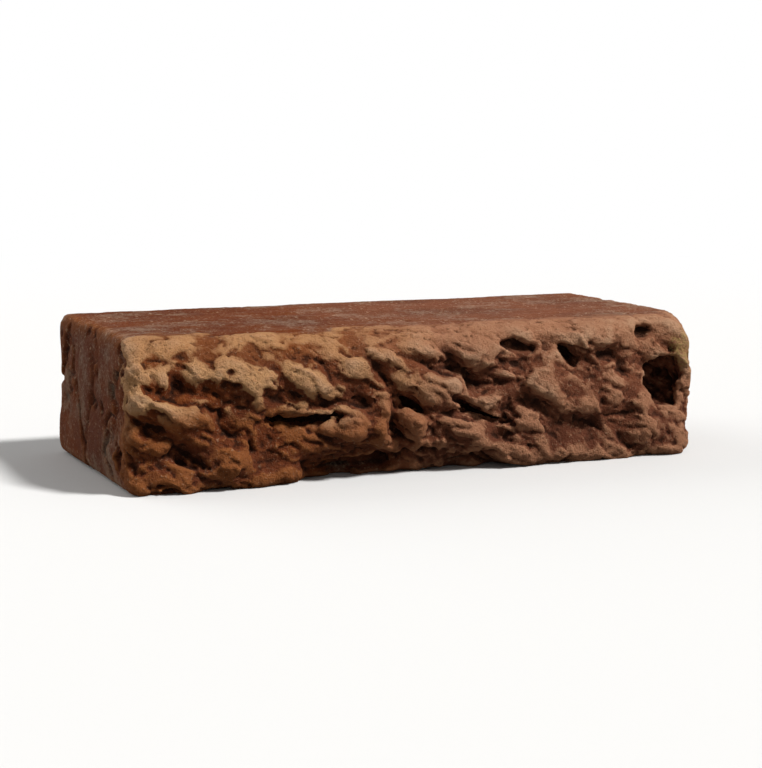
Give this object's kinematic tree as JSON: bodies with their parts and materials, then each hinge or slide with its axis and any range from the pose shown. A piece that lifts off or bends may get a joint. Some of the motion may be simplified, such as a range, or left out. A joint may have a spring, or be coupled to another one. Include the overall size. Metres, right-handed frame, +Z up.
{
  "type": "clay brick",
  "caption": "Hand-moulded fired clay brick with two flat beds and one long face weathered into hollows, furrows and worn arrises.",
  "frame": {"origin": "middle of the brick's outline in plan, on the lower bed that it is laid on", "axes": "+X along the brick, -Y out of the weathered face, +Z up from the lower bed to the upper bed"},
  "size_m": [0.21, 0.0998, 0.05],
  "materials": {
    "fired_clay": "rough, porous"
  },
  "bodies": {
    "root": {"brick": "fired_clay"}
  },
  "joints": []
}
